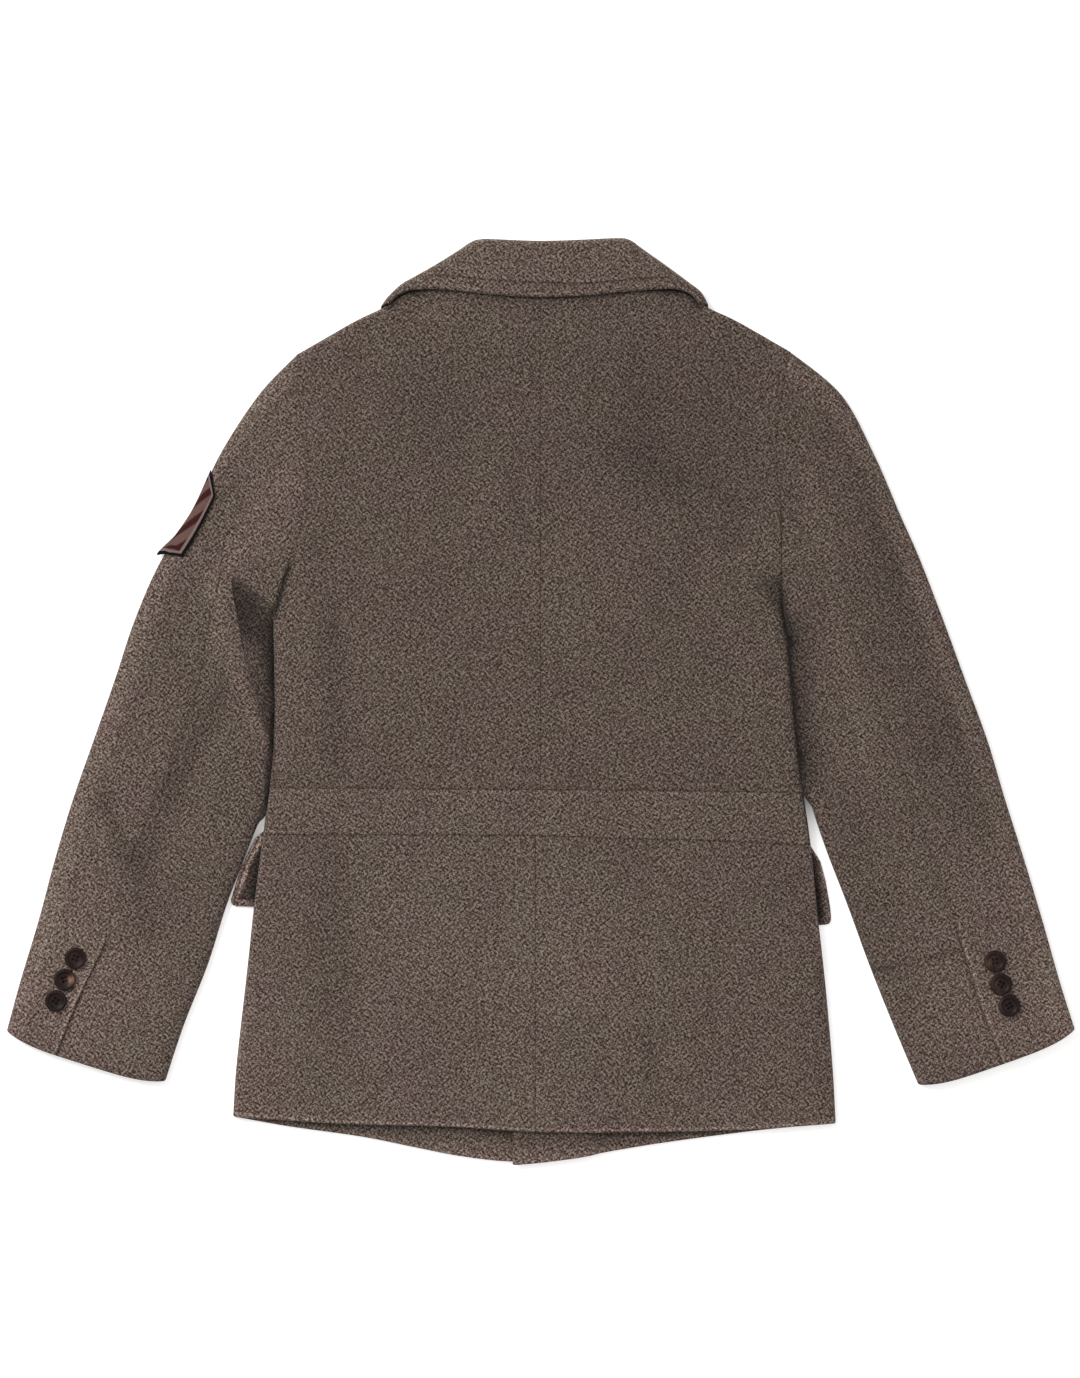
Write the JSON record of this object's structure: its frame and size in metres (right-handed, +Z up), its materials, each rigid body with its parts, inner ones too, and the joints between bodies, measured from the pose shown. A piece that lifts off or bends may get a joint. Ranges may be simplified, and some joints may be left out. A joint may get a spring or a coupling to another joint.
{
  "type": "pea coat",
  "caption": "Child's wool tweed coat lying flat on its front, back up, with folded collar, inset waistband, pocket flaps, two-piece sleeves and buttoned cuff vents.",
  "frame": {"origin": "middle of the coat's outline on the surface it lies on", "axes": "+Z up out of the surface, through the back of the coat; +Y towards the collar; +X towards the wearer's right sleeve"},
  "size_m": [0.7464, 0.6477, 0.0122],
  "materials": {
    "tweed": "salt-and-pepper brown-grey wool tweed, soft nap, matt",
    "horn_button": "dark brown horn look, dished face, half gloss",
    "patch_cloth": "taupe twill with a black satin-stitched border"
  },
  "bodies": {
    "root": {"back_upper_left": "tweed", "back_upper_right": "tweed", "back_waistband": "tweed", "back_skirt_left": "tweed", "back_skirt_right": "tweed", "front_left": "tweed", "front_right": "tweed", "sleeve_left_top": "tweed", "sleeve_left_under": "tweed", "sleeve_right_top": "tweed", "sleeve_right_under": "tweed", "collar_fall": "tweed", "collar_stand": "tweed", "lapel_left": "tweed", "lapel_right": "tweed", "pocket_flap_left": "tweed", "pocket_flap_right": "tweed", "cuff_button_left_1": "horn_button", "cuff_button_left_2": "horn_button", "cuff_button_left_3": "horn_button", "cuff_button_right_1": "horn_button", "cuff_button_right_2": "horn_button", "cuff_button_right_3": "horn_button", "front_button_1": "horn_button", "front_button_2": "horn_button", "front_button_3": "horn_button", "sleeve_patch": "patch_cloth"}
  },
  "joints": []
}
